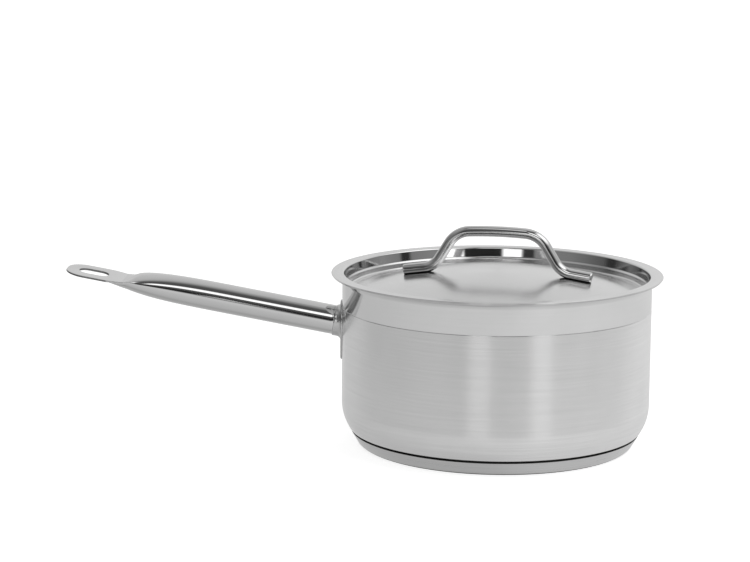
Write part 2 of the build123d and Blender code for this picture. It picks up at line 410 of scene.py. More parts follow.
def lathe_tree():
    """Turns a section of points in the XZ plane round Z, and maps how far along the section a face is."""
    tree, given, made = new_tree("lathe", [
        ("Segments", "NodeSocketInt"),
        ("Merge distance", "NodeSocketFloat"),
        ("Finish", "NodeSocketMaterial"),
    ])
    section = given.outputs["Geometry"]
    segments = given.outputs["Segments"]
    size = add_node(tree, "GeometryNodeAttributeDomainSize", {"Geometry": section}, component="MESH")
    points = size.outputs["Point Count"]
    sheet = add_node(tree, "GeometryNodeMeshGrid", {
        "Vertices X": calculate(tree, "ADD", segments, 1.0),
        "Vertices Y": points,
    })
    index = tree.nodes.new("GeometryNodeInputIndex").outputs[0]
    column = calculate(tree, "FLOOR", calculate(tree, "DIVIDE", calculate(tree, "ADD", index, 0.5), points))
    row = calculate(tree, "SUBTRACT", index, calculate(tree, "MULTIPLY", column, points))
    place = tree.nodes.new("GeometryNodeInputPosition").outputs[0]
    on_section = add_node(tree, "GeometryNodeSampleIndex", {
        "Geometry": section,
        "Value": place,
        "Index": row,
    }, data_type="FLOAT_VECTOR", domain="POINT")
    run = add_node(tree, "GeometryNodeInputNamedAttribute", {"Name": "run"}, data_type="FLOAT")
    run_here = add_node(tree, "GeometryNodeSampleIndex", {
        "Geometry": section,
        "Value": run.outputs["Attribute"],
        "Index": row,
    }, data_type="FLOAT", domain="POINT")
    flat = add_node(tree, "ShaderNodeSeparateXYZ", {0: on_section.outputs[0]})
    share = calculate(tree, "DIVIDE", column, segments)
    angle = calculate(tree, "MULTIPLY", share, 2 * pi)
    turned = add_node(tree, "ShaderNodeCombineXYZ", {
        "X": calculate(tree, "MULTIPLY", flat.outputs["X"], calculate(tree, "COSINE", angle)),
        "Y": calculate(tree, "MULTIPLY", flat.outputs["X"], calculate(tree, "SINE", angle)),
        "Z": flat.outputs["Z"],
    })
    around = add_node(tree, "ShaderNodeCombineXYZ", {"X": share, "Y": run_here.outputs[0]})
    kept = tree.nodes.new("GeometryNodeCaptureAttribute")
    kept.capture_items.new("VECTOR", "Map")
    tree.links.new(sheet.outputs["Mesh"], kept.inputs["Geometry"])
    tree.links.new(around.outputs[0], kept.inputs["Map"])
    mapped = add_node(tree, "GeometryNodeStoreNamedAttribute", {
        "Geometry": kept.outputs["Geometry"],
        "Name": "UVMap",
        "Value": kept.outputs["Map"],
    }, data_type="FLOAT2", domain="CORNER")
    moved = add_node(tree, "GeometryNodeSetPosition", {
        "Geometry": mapped.outputs[0],
        "Position": turned.outputs[0],
    })
    closed = add_node(tree, "GeometryNodeMergeByDistance", {
        "Geometry": moved.outputs[0],
        "Distance": given.outputs["Merge distance"],
    })
    finish_tree(tree, closed.outputs[0], given, made)
    return tree


def bend_tree():
    """Bends a round bar along a path whose corners carry their own bend radius."""
    tree, given, made = new_tree("bend", [
        ("Bar radius", "NodeSocketFloat"),
        ("Sides", "NodeSocketInt"),
        ("Bend points", "NodeSocketInt"),
        ("Finish", "NodeSocketMaterial"),
    ])
    path = add_node(tree, "GeometryNodeMeshToCurve", {"Mesh": given.outputs["Geometry"]})
    radius = add_node(tree, "GeometryNodeInputNamedAttribute", {"Name": "bend"}, data_type="FLOAT")
    bent = add_node(tree, "GeometryNodeFilletCurve", {
        "Curve": path.outputs[0],
        "Count": given.outputs["Bend points"],
        "Radius": radius.outputs["Attribute"],
        "Limit Radius": True,
    }, mode="POLY")
    ring = add_node(tree, "GeometryNodeCurvePrimitiveCircle", {
        "Resolution": given.outputs["Sides"],
        "Radius": given.outputs["Bar radius"],
    }, mode="RADIUS")
    bar = add_node(tree, "GeometryNodeCurveToMesh", {
        "Curve": bent.outputs[0],
        "Profile Curve": ring.outputs[0],
        "Fill Caps": True,
    })
    finish_tree(tree, bar.outputs[0], given, made)
    return tree


def in_scene(name, content):
    """A new object in the scene, from a mesh or a camera."""
    fresh = bpy.data.objects.new(name, content)
    bpy.context.scene.collection.objects.link(fresh)
    return fresh


def run_tree(name, start, tree, values):
    """The plain mesh object that a shape tree makes from a start mesh."""
    source = in_scene(name + "_source", start)
    modifier = source.modifiers.new("shape", "NODES")
    modifier.node_group = tree
    sockets = {item.name: item.identifier for item in tree.interface.items_tree if item.in_out == "INPUT"}
    for label, value in values.items():
        modifier[sockets[label]] = value
    graph = bpy.context.evaluated_depsgraph_get()
    mesh = bpy.data.meshes.new_from_object(source.evaluated_get(graph))
    mesh.name = name
    bpy.data.objects.remove(source)
    return in_scene(name, mesh)


def tidy_mesh(piece):
    """Closes seams and turns every face outwards."""
    work = bmesh.new()
    work.from_mesh(piece.data)
    bmesh.ops.remove_doubles(work, verts=work.verts, dist=MERGE)
    bmesh.ops.recalc_face_normals(work, faces=work.faces)
    if work.calc_volume(signed=True) < 0:
        bmesh.ops.reverse_faces(work, faces=work.faces)
    work.to_mesh(piece.data)
    work.free()
    for face in piece.data.polygons:
        face.use_smooth = True


LATHE = lathe_tree()


def turned_piece(name, section, finish):
    """A piece turned from its section."""
    start = bpy.data.meshes.new(name + "_section")
    edges = [(index, index + 1) for index in range(len(section) - 1)]
    start.from_pydata([(point.x, 0, point.y) for point in section], edges, [])
    run = start.attributes.new("run", "FLOAT", "POINT")
    length = 0.0
    for index, point in enumerate(section):
        if index:
            length += (point - section[index - 1]).length
        run.data[index].value = length
    piece = run_tree(name, start, LATHE, {
        "Segments": LATHE_SEGMENTS,
        "Merge distance": MERGE,
        "Finish": finish,
    })
    tidy_mesh(piece)
    return piece


def finish_faces(piece, finish, chosen):
    """Puts another finish on the chosen faces of a piece."""
    piece.data.materials.append(finish)
    slot = len(piece.data.materials) - 1
    for face in piece.data.polygons:
        if chosen(hypot(face.center.x, face.center.y), face.center.z):
            face.material_index = slot


# Steel finishes

# Brushing: how often its lines change round the pan and along its section, and how much they show
LINES_ROUND = 14.0
LINES_ALONG = 1150.0
LINE_DETAIL = 4.0
LINE_ROUGHNESS = 0.65
LINE_GLOSS = 0.05
SCRATCH_SHADE = 6.6
BUMP_HEIGHT = 0.1 * MM
QUARTER_TURN = 0.25
# Slow patches of wear between the lines
PATCH_SCALE = 32.0
PATCH_DETAIL = 3.0
PATCH_SHADE = 0.11
# Buffing: a faint haze, and hairlines that run along the handle
HAZE_SCALE = 60.0
HAZE_DETAIL = 3.0
HAZE_SHADE = 0.06
HAIR_SCALE = (60.0, 900.0, 900.0)
HAIR_DETAIL = 3.0
HAIR_GLOSS = 0.02
HAIR_DEPTH = 0.002


def new_finish(name):
    """A material with its shader and its node tree."""
    finish = bpy.data.materials.new(name)
    finish.use_nodes = True
    tree = finish.node_tree
    shader = tree.nodes["Principled BSDF"]
    shader.inputs["Metallic"].default_value = 1.0
    return finish, tree, shader


def noise(tree, place, scale, detail, roughness=0.5):
    """Soft noise from 0 to 1 at a place."""
    return add_node(tree, "ShaderNodeTexNoise", {
        "Vector": place,
        "Scale": scale,
        "Detail": detail,
        "Roughness": roughness,
    }).outputs["Fac"]


def set_surface(tree, shader, shade, rough, relief, depth):
    """Links a grey shade and a roughness to the shader, and a bump of the relief."""
    tint = add_node(tree, "ShaderNodeCombineColor", {"Red": shade, "Green": shade, "Blue": shade})
    tree.links.new(tint.outputs[0], shader.inputs["Base Color"])
    tree.links.new(rough, shader.inputs["Roughness"])
    bump = add_node(tree, "ShaderNodeBump", {"Strength": depth, "Distance": BUMP_HEIGHT, "Height": relief})
    tree.links.new(bump.outputs[0], shader.inputs["Normal"])


def brushed_steel(name, colour, roughness, anisotropy, scratch):
    """Steel brushed round the pan's axis: fine lines that run round, and slow patches of wear."""
    finish, tree, shader = new_finish(name)
    place = add_node(tree, "ShaderNodeTexCoord").outputs["Object"]
    across = add_node(tree, "ShaderNodeUVMap", uv_map="UVMap").outputs[0]
    along = add_node(tree, "ShaderNodeSeparateXYZ", {0: place})
    run = add_node(tree, "ShaderNodeSeparateXYZ", {0: across}).outputs["Y"]
    line_place = add_node(tree, "ShaderNodeCombineXYZ", {
        "X": calculate(tree, "MULTIPLY", along.outputs["X"], LINES_ROUND),
        "Y": calculate(tree, "MULTIPLY", along.outputs["Y"], LINES_ROUND),
        "Z": calculate(tree, "MULTIPLY", run, LINES_ALONG),
    }).outputs[0]
    lines = noise(tree, line_place, 1.0, LINE_DETAIL, LINE_ROUGHNESS)
    patches = noise(tree, place, PATCH_SCALE, PATCH_DETAIL)
    depth = colour * scratch * SCRATCH_SHADE
    wear = colour * PATCH_SHADE
    shade = calculate(tree, "MULTIPLY_ADD", lines, depth, colour - depth / 2 - wear / 2)
    shade = calculate(tree, "MULTIPLY_ADD", patches, wear, shade)
    rough = calculate(tree, "MULTIPLY_ADD", lines, LINE_GLOSS, roughness - LINE_GLOSS / 2)
    set_surface(tree, shader, shade, rough, lines, scratch)
    shader.inputs["Anisotropic"].default_value = anisotropy
    shader.inputs["Anisotropic Rotation"].default_value = QUARTER_TURN
    round_axis = add_node(tree, "ShaderNodeTangent", direction_type="RADIAL", axis="Z")
    tree.links.new(round_axis.outputs[0], shader.inputs["Tangent"])
    return finish


def polished_steel(name, colour, roughness):
    """Buffed steel: nearly a mirror, with faint haze and hairlines from the wheel."""
    finish, tree, shader = new_finish(name)
    place = add_node(tree, "ShaderNodeTexCoord").outputs["Object"]
    haze = noise(tree, place, HAZE_SCALE, HAZE_DETAIL)
    hair_place = add_node(tree, "ShaderNodeMapping", {"Vector": place, "Scale": HAIR_SCALE})
    hair = noise(tree, hair_place.outputs[0], 1.0, HAIR_DETAIL)
    shade = calculate(tree, "MULTIPLY_ADD", haze, HAZE_SHADE, colour - HAZE_SHADE / 2)
    rough = calculate(tree, "MULTIPLY_ADD", hair, HAIR_GLOSS, roughness - HAIR_GLOSS / 2)
    set_surface(tree, shader, shade, rough, hair, HAIR_DEPTH)
    return finish


# Brushed finishes by colour, roughness, anisotropy and scratch depth, polished by colour and roughness
WALL_STEEL = brushed_steel("brushed_pan_steel", 0.90, 0.24, 0.8, 0.03)
BAND_STEEL = brushed_steel("buffed_band_steel", 0.80, 0.09, 0.3, 0.01)
BASE_STEEL = brushed_steel("brushed_base_steel", 0.72, 0.28, 0.6, 0.03)
LID_STEEL = brushed_steel("brushed_lid_steel", 0.78, 0.20, 0.6, 0.02)
MIRROR_STEEL = polished_steel("mirror_wall_steel", 0.80, 0.06)
HANDLE_STEEL = polished_steel("polished_handle_steel", 0.74, 0.06)
SOCKET_STEEL = polished_steel("satin_socket_steel", 0.66, 0.22)
# Near-black steel: painted shade in the seam between pan and base cap, and under the lid grip's feet
PAINTED_SHADE_STEEL = brushed_steel("painted_shade_steel", 0.06, 0.45, 0.0, 0.03)
# Dark grey on the tab: painted shade along the folded rim, and the slot's cut edge
RIM_SHADE_AND_CUT_STEEL = polished_steel("rim_shade_and_cut_steel", 0.24, 0.30)
# A dark grey on the aluminium core: painted shade for the depth of the seam
SHADED_CORE_METAL = brushed_steel("dark_shaded_core_aluminium", 0.30, 0.55, 0.3, 0.10)

# Turned pieces

PAN = turned_piece("pan_body_visual", pan_section(), WALL_STEEL)
finish_faces(PAN, BAND_STEEL, lambda radius, height: (
    radius > PAN_RADIUS - PAN_WALL / 2 and height > BAND_LOW
))
# Painted shade on the pan's underside, down at the seam
finish_faces(PAN, PAINTED_SHADE_STEEL, lambda radius, height: height < FLOOR_UNDERSIDE + SEAM_SHADE_BAND)
BASE_CAP = turned_piece("base_cap_visual", cap_section(), BASE_STEEL)
# Painted shade on the base cap's top edge at the seam and on its inside face
finish_faces(BASE_CAP, PAINTED_SHADE_STEEL, lambda radius, height: height > CAP_TOP - SEAM_SHADE_BAND or (
    radius < lean_radius(height) - CAP_WALL / 2 and height > CAP_WALL / 2
))
LID = turned_piece("lid_shell_visual", lid_section(), LID_STEEL)
finish_faces(LID, MIRROR_STEEL, lambda radius, height: (
    radius > UPPER_WALL_RADIUS - STEP_ROUNDING
    and FLANGE_TOP - STEP_DEPTH < height < FLANGE_TOP - LID_WALL / 4
))

# Lid handle


def bar_path(name):
    """The corners of the lid's grip as a start mesh, each with its own bend radius."""
    foot_lift = BAR_RADIUS - FOOT_SEAT
    half = [
        (FOOT_SPAN, dome_height(FOOT_SPAN) + foot_lift, 0.0),
        (KNEE_SPAN, dome_height(KNEE_SPAN) + foot_lift, KNEE_BEND),
        (CORNER_SPAN, FLANGE_TOP + BAR_RISE, CORNER_BEND),
    ]
    corners = [(-span, height, bend) for span, height, bend in half]
    corners.append((0.0, FLANGE_TOP + BAR_RISE + BAR_CROWN, BAR_CROWN_RADIUS))
    corners += reversed(half)
    start = bpy.data.meshes.new(name + "_path")
    places = [(cos(LID_TURN) * span, -sin(LID_TURN) * span, height) for span, height, bend in corners]
    start.from_pydata(places, [(index, index + 1) for index in range(len(places) - 1)], [])
    bends = start.attributes.new("bend", "FLOAT", "POINT")
    for item, (span, height, bend) in zip(bends.data, corners):
        item.value = bend
    return start


def round_ends(piece):
    """Rounds the edges of the bar's two flat ends."""
    work = bmesh.new()
    work.from_mesh(piece.data)
    bmesh.ops.remove_doubles(work, verts=work.verts, dist=MERGE)
    ends = [face for face in work.faces if len(face.verts) == BAR_SIDES]
    rims = [edge for face in ends for edge in face.edges]
    bmesh.ops.bevel(work, geom=rims, offset=BAR_END_EDGE, segments=EDGE_STEPS, profile=0.5, affect="EDGES")
    work.to_mesh(piece.data)
    work.free()


def bent_bar(name, finish, foot_shade_finish):
    """The lid's grip, a round bar with both feet on the dome, and painted shade along the feet's welded
    undersides.
    """
    piece = run_tree(name, bar_path(name), bend_tree(), {
        "Bar radius": BAR_RADIUS,
        "Sides": BAR_SIDES,
        "Bend points": BAR_BEND_POINTS,
        "Finish": finish,
    })
    round_ends(piece)
    tidy_mesh(piece)
    # Painted shade on the feet's undersides, beyond the knees
    piece.data.materials.append(foot_shade_finish)
    for face in piece.data.polygons:
        face.material_index = int(face.center.xy.length > KNEE_SPAN and face.normal.z < -FOOT_SHADE_SHARE)
    return piece


BAR = bent_bar("lid_handle_visual", HANDLE_STEEL, PAINTED_SHADE_STEEL)

# Handle tube, pressed flat into a slotted tab

HANDLE_ROOT = Vector((-PAN_RADIUS, 0.0, HANDLE_HEIGHT))
HANDLE_OUT = Vector((-cos(HANDLE_TILT), 0.0, sin(HANDLE_TILT)))
HANDLE_UP = Vector((sin(HANDLE_TILT), 0.0, cos(HANDLE_TILT)))
HANDLE_SIDE = Vector((0.0, 1.0, 0.0))
TAB_SIDE = HANDLE_SIDE * cos(HANDLE_ROLL) + HANDLE_UP * sin(HANDLE_ROLL)
TAB_UP = HANDLE_UP * cos(HANDLE_ROLL) - HANDLE_SIDE * sin(HANDLE_ROLL)
PRESS_END = ROUND_LENGTH + UNDER_PRESS_LENGTH
SLOT_CENTRE = PRESS_END + TAB_LENGTH - SLOT_TO_TIP
SLOT_STRAIGHT = (SLOT_LENGTH - SLOT_WIDTH) / 2


def on_handle(along, across, up):
    """A point by its distances along, across and above the handle's axis."""
    return HANDLE_ROOT + HANDLE_OUT * along + HANDLE_SIDE * across + HANDLE_UP * up


def on_tab(along, across, up):
    """The same for the tab, turned about the handle's axis, and for the tube that twists into it."""
    share = min(max((along - TWIST_START) / (PRESS_END - TWIST_START), 0.0), 1.0)
    roll = HANDLE_ROLL * share**2 * (3 - 2 * share)
    return on_handle(along, across * cos(roll) - up * sin(roll), across * sin(roll) + up * cos(roll))


def pressed_height(along, press_length, build, ease):
    """Height of the tube's outer face from its middle plane, from round down to one wall."""
    share = min(max(along - ROUND_LENGTH, 0.0) / press_length, 1.0)
    return TUBE_WALL + (TUBE_RADIUS - TUBE_WALL) * (1 - share**build) ** ease


def top_height(along):
    """Height of the pressed top, with the foot of its slope softened."""
    heights = []
    for step in range(-SOFTENING_STEPS, SOFTENING_STEPS + 1):
        place = along + PRESS_SOFTENING * step / SOFTENING_STEPS
        heights.append(pressed_height(place, TOP_PRESS_LENGTH, TOP_PRESS_BUILD, TOP_PRESS_EASE))
    return sum(heights) / len(heights)


def under_height(along):
    """Depth of the pressed underside."""
    return pressed_height(along, UNDER_PRESS_LENGTH, UNDER_PRESS_BUILD, UNDER_PRESS_EASE)


def quarter_section(width, height, level):
    """A quarter of the tube's outside from crown to side: an ellipse that goes over into a flat strip."""
    flatness = max(0.0, 1 - (level - TUBE_WALL) / FLAT_BLEND)
    points = []
    for step in range(QUARTER_POINTS + 1):
        angle = pi / 2 * step / QUARTER_POINTS
        across = width * sin(angle)
        past_flat = max(0.0, across - width + height)
        flat_up = sqrt(max(0.0, height**2 - past_flat**2))
        points.append((across, height * cos(angle) * (1 - flatness) + flat_up * flatness))
    return points


def ring_section(along):
    """The whole outside as one ring, from the crown towards +Y, its fold high where the top is pressed."""
    top = top_height(along)
    under = under_height(along)
    fold = min((under - top) * FOLD_RISE, top - TUBE_WALL)
    spread = (TUBE_RADIUS**2 - (top**2 + under**2) / 2) / (TUBE_RADIUS**2 - TUBE_WALL**2)
    width = sqrt(TUBE_RADIUS**2 + (TAB_HALF_WIDTH**2 - TUBE_RADIUS**2) * spread)
    upper = quarter_section(width, top - fold, top)
    lower = quarter_section(width, under + fold, under)
    half = [(across, fold + up) for across, up in upper]
    half += [(across, fold - up) for across, up in reversed(lower[:-1])]
    return half + [(-across, up) for across, up in reversed(half[1:-1])]


def tube_mesh():
    """The tube's rings from its root to the tab, with its root closed."""
    places = [TUBE_START + (ROUND_LENGTH - TUBE_START) * step / ROUND_STEPS for step in range(ROUND_STEPS)]
    places += [ROUND_LENGTH + UNDER_PRESS_LENGTH * step / PRESS_STEPS for step in range(PRESS_STEPS + 1)]
    points = []
    for along in places:
        points += [on_tab(along, across, up) for across, up in ring_section(along)]
    size = 4 * QUARTER_POINTS
    faces = [tuple(range(size))]
    for ring in range(len(places) - 1):
        for index in range(size):
            after = (index + 1) % size
            faces.append((ring * size + index, ring * size + after,
                          (ring + 1) * size + after, (ring + 1) * size + index))
    return points, faces


def tab_rim(work, edge):
    """The tab's folded rim, as rings of points across its edge."""
    outline = rounded_path([
        (PRESS_END, TAB_HALF_WIDTH, 0),
        (PRESS_END + TAB_LENGTH, TAB_HALF_WIDTH, TAB_CORNER),
        (PRESS_END + TAB_LENGTH, -TAB_HALF_WIDTH, TAB_CORNER),
        (PRESS_END, -TAB_HALF_WIDTH, 0),
    ])
    rings = []
    for point, normal in outline:
        rings.append([work.verts.new(on_tab(*(point - normal * inset), up)) for inset, up in edge])
    for before, after in zip(rings, rings[1:]):
        for step in range(len(edge) - 1):
            work.faces.new((before[step], after[step], after[step + 1], before[step + 1]))
    return rings


def slot_wall(work):
    """The slot's wall with its rounded lips, as rings of points from the tab's top to its underside."""
    turns = [pi * step / SLOT_END_STEPS - pi / 2 for step in range(SLOT_END_STEPS + 1)]
    ends = [(SLOT_STRAIGHT, angle) for angle in turns] + [(-SLOT_STRAIGHT, angle + pi) for angle in turns]
    lip = [pi / 2 * step / EDGE_STEPS for step in range(EDGE_STEPS + 1)]
    wall = [(SLOT_EDGE * (1 - sin(angle)), TUBE_WALL - SLOT_EDGE * (1 - cos(angle))) for angle in lip]
    wall += [(inset, -up) for inset, up in reversed(wall)]
    rings = []
    for offset, angle in ends:
        ring = []
        for inset, up in wall:
            far = SLOT_WIDTH / 2 + inset
            ring.append(work.verts.new(on_tab(SLOT_CENTRE + offset + cos(angle) * far, sin(angle) * far, up)))
        rings.append(ring)
    for before, after in zip(rings, rings[1:] + rings[:1]):
        for step in range(len(wall) - 1):
            work.faces.new((before[step], before[step + 1], after[step + 1], after[step]))
    return rings


def tab_mesh(work):
    """The flat tab with its slot, added to the tube's mesh so that both share the last ring."""
    quarter = quarter_section(TAB_HALF_WIDTH, TUBE_WALL, TUBE_WALL)
    flat_width = TAB_HALF_WIDTH - FOLD_STRIP
    flat_from = max(step for step, (across, up) in enumerate(quarter) if across < flat_width)
    edge = [(TAB_HALF_WIDTH - across, up) for across, up in quarter[flat_from:]]
    edge += [(inset, -up) for inset, up in reversed(edge[:-1])]
    rim_rings = tab_rim(work, edge)
    slot_rings = slot_wall(work)
    crossing = list(reversed(quarter[:flat_from])) + [(-across, up) for across, up in quarter[1:flat_from]]
    for side, layer in ((1, 0), (-1, -1)):
        outer = [ring[layer] for ring in rim_rings]
        outer += [work.verts.new(on_tab(PRESS_END, -across, side * up)) for across, up in crossing]
        inner = [ring[layer] for ring in slot_rings]
        border = []
        for loop in (outer, inner):
            for first, second in zip(loop, loop[1:] + loop[:1]):
                border.append(work.edges.get((first, second)) or work.edges.new((first, second)))
        bmesh.ops.triangle_fill(work, use_beauty=True, edges=border, normal=TAB_UP * side)


def on_rim_or_slot(place):
    """Whether a place on the tab lies on its folded rim or in its slot."""
    along = (place - HANDLE_ROOT).dot(HANDLE_OUT)
    across = (place - HANDLE_ROOT).dot(TAB_SIDE)
    up = (place - HANDLE_ROOT).dot(TAB_UP)
    from_slot = hypot(max(abs(along - SLOT_CENTRE) - SLOT_STRAIGHT, 0.0), across) - SLOT_WIDTH / 2
    return along > PRESS_END and abs(up) < TUBE_WALL * RIM_SHADE_SHARE or abs(from_slot) < SLOT_EDGE / 2


def pressed_handle(name, finish, rim_shade_finish):
    """The whole handle as one closed mesh."""
    points, faces = tube_mesh()
    mesh = bpy.data.meshes.new(name)
    mesh.from_pydata(points, [], faces)
    work = bmesh.new()
    work.from_mesh(mesh)
    tab_mesh(work)
    bmesh.ops.remove_doubles(work, verts=work.verts, dist=MERGE)
    work.to_mesh(mesh)
    work.free()
    mesh.materials.append(finish)
    mesh.materials.append(rim_shade_finish)
    piece = in_scene(name, mesh)
    tidy_mesh(piece)
    # Painted shade on the tab's folded rim, and the same dark grey on the slot's cut edge
    for face in mesh.polygons:
        face.material_index = int(on_rim_or_slot(face.center))
    return piece


TUBE = pressed_handle("handle_tube_visual", HANDLE_STEEL, RIM_SHADE_AND_CUT_STEEL)

# Handle socket: a neck that flares into a teardrop plate on the wall


def wall_distance(reach, angle, radius):
    """Distance along the handle's axis to an upright cylinder, at a reach and angle from that axis."""
    across = reach * cos(angle)
    lift = reach * sin(angle) * sin(HANDLE_TILT)
    return (sqrt(radius**2 - across**2) - PAN_RADIUS + lift) / cos(HANDLE_TILT)


def plate_distance(across, down):
    """Signed distance to the plate's teardrop outline, measured from the neck's centre."""
    head = NECK_RADIUS + PLATE_MARGIN
    length = PLATE_DROP - PLATE_TOE_RADIUS
    taper = (head - PLATE_TOE_RADIUS) / length
    straight = sqrt(1 - taper**2)
    across = abs(across)
    along = -taper * across + straight * down
    if along < 0:
        return hypot(across, down) - head
    if along > straight * length:
        return hypot(across, down - length) - PLATE_TOE_RADIUS
    return straight * across + taper * down - head


def plate_reach(angle):
    """How far the plate reaches from the neck's axis at an angle round it."""
    near = NECK_RADIUS
    far = 2 * PLATE_DROP
    for halving in range(PLATE_HALVINGS):
        middle = (near + far) / 2
        if plate_distance(middle * cos(angle), -middle * sin(angle) * cos(HANDLE_TILT)) < 0:
            near = middle
        else:
            far = middle
    return near


def neck_fillet(angle, plate, neck_end):
    """The largest fillet that has room below the neck's end, and the plate's slope under it."""
    fillet = NECK_FILLET
    for settle in range(FILLET_TRIES):
        centre = NECK_RADIUS + fillet
        slope = (wall_distance(centre + MERGE, angle, plate) - wall_distance(centre, angle, plate)) / MERGE
        lift = fillet * sqrt(1 + slope**2)
        room = neck_end - SUPPORT - wall_distance(centre, angle, plate)
        fillet = min(NECK_FILLET, fillet * room / lift)
    return fillet, slope


def socket_profile(angle):
    """(reach, along) points from the bore over the neck, its fillet and the plate to the wall."""
    plate = PAN_RADIUS + PLATE_THICKNESS
    edge = plate_reach(angle)
    neck_end = NECK_LENGTH - NECK_EDGE
    fillet, slope = neck_fillet(angle, plate, neck_end)
    centre = NECK_RADIUS + fillet
    centre_along = wall_distance(centre, angle, plate) + fillet * sqrt(1 + slope**2)
    profile = [
        (0.0, TUBE_START),
        (NECK_BORE, TUBE_START),
        (NECK_BORE, neck_end),
        (NECK_BORE + NECK_EDGE, NECK_LENGTH),
        (NECK_RADIUS - NECK_EDGE, NECK_LENGTH),
        (NECK_RADIUS - NECK_EDGE * (1 - sin(pi / 4)), NECK_LENGTH - NECK_EDGE * (1 - cos(pi / 4))),
        (NECK_RADIUS, neck_end),
    ]
    sweep = pi / 2 + atan2(slope, 1.0)
    for step in range(FILLET_STEPS + 1):
        turn = pi + sweep * step / FILLET_STEPS
        profile.append((centre + fillet * cos(turn), centre_along + fillet * sin(turn)))
    start = profile[-1][0]
    end = edge - PLATE_EDGE
    for step in range(1, PLATE_STEPS + 1):
        reach = start + (end - start) * step / PLATE_STEPS
        profile.append((reach, wall_distance(reach, angle, plate)))
    for step in range(1, EDGE_STEPS + 1):
        turn = pi / 2 * step / EDGE_STEPS
        reach = end + PLATE_EDGE * sin(turn)
        profile.append((reach, wall_distance(reach, angle, plate - PLATE_EDGE * (1 - cos(turn)))))
    for share in (1.0, 0.5, 0.0):
        profile.append((edge * share, wall_distance(edge * share, angle, PAN_RADIUS)))
    return profile


def welded_socket(name, finish):
    """The socket, laid out in rings of one angle each round the handle's axis."""
    points = []
    faces = []
    for turn in range(SOCKET_STEPS):
        angle = 2 * pi * turn / SOCKET_STEPS
        profile = socket_profile(angle)
        points += [on_handle(along, reach * cos(angle), reach * sin(angle)) for reach, along in profile]
        size = len(profile)
        after = (turn + 1) % SOCKET_STEPS
        for step in range(size - 1):
            faces.append((turn * size + step, turn * size + step + 1,
                          after * size + step + 1, after * size + step))
    mesh = bpy.data.meshes.new(name)
    mesh.from_pydata(points, [], faces)
    mesh.materials.append(finish)
    piece = in_scene(name, mesh)
    tidy_mesh(piece)
    return piece


SOCKET = welded_socket("handle_socket_visual", SOCKET_STEEL)

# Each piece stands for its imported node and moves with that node's body
for piece, node, body, slot in (
    (PAN, "pan_body", "pan", "pan_steel"),
    (BASE_CAP, "base_cap", "pan", "base_steel"),
    (TUBE, "handle_tube", "pan", "polished_steel"),
    (SOCKET, "handle_socket", "pan", "polished_steel"),
    (LID, "lid_shell", "lid", "lid_steel"),
    (BAR, "lid_handle", "lid", "polished_steel"),
):
    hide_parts(node)
    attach(piece, body)

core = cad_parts["base_core"]
# The core takes the dark grey that stands for the shade in the seam
core.data.materials.clear()
core.data.materials.append(SHADED_CORE_METAL)

# Studio: a pale floor, and a world that is white to the eye and a studio in reflections

# Degrees from straight down to straight up, and all the way round with 0 in front of the pan
UPRIGHT_SPAN = 180
ROUND_SPAN = 360
# Brightness of the studio by elevation, in front of the pan and behind it
FRONT_STOPS = [
    (-90, 0.42), (-70, 0.56), (-31, 0.63), (-16, 0.70), (-8, 0.69), (-4, 0.22), (0, 0.03), (12, 0.03),
    (17, 0.10), (57, 0.09), (66, 0.10), (75, 0.22), (84, 0.40), (90, 0.50),
]
BACK_STOPS = [
    (-90, 0.42), (-70, 0.56), (-40, 0.62), (-14, 0.70), (0, 0.76), (14, 0.76), (37, 0.70), (57, 0.66),
    (70, 0.62), (90, 0.50),
]
# How much of each azimuth counts as the front
FRONT_SHARE_STOPS = [(-180, 0.0), (-125, 0.0), (-100, 1.0), (100, 1.0), (125, 0.0), (180, 0.0)]
# Lights, walls and screens of the studio, each with its brightness by azimuth and its share by elevation
SOFT_BOXES = (
    (  # the soft box above the camera, which draws the white line on the handle
        [(-180, 0.0), (-14, 0.0), (-9, 1.5), (14, 1.5), (18, 0.0), (180, 0.0)],
        [(-90, 0.0), (26, 0.0), (29, 1.0), (41, 1.0), (47, 0.0), (90, 0.0)],
    ),
    (  # a small high lamp on the left, which draws the line on the lid's grip
        [(-180, 0.0), (-52, 0.0), (-46, 0.7), (-18, 0.8), (-13, 0.0), (180, 0.0)],
        [(-90, 0.0), (50, 0.0), (55, 1.0), (68, 1.0), (76, 0.0), (90, 0.0)],
    ),
    (  # pale side walls of the room, which the lid shows when it is seen from behind
        [
            (-180, 0.0), (-125, 0.0), (-100, 0.24), (-40, 0.24), (-26, 0.0), (26, 0.0), (40, 0.24),
            (100, 0.24), (125, 0.0), (180, 0.0),
        ],
        [(-90, 0.0), (12, 0.0), (17, 1.0), (57, 1.0), (70, 0.0), (90, 0.0)],
    ),
    (  # a dim screen on the left and a bright one on the right
        [
            (-180, 0.0), (-125, 0.0), (-100, 0.40), (-75, 0.45), (-55, 0.36), (-40, 0.0), (24, 0.0),
            (36, 1.3), (115, 1.4), (135, 0.0), (180, 0.0),
        ],
        [(-90, 0.0), (20, 0.0), (34, 0.75), (44, 1.0), (62, 1.0), (72, 0.0), (90, 0.0)],
    ),
)
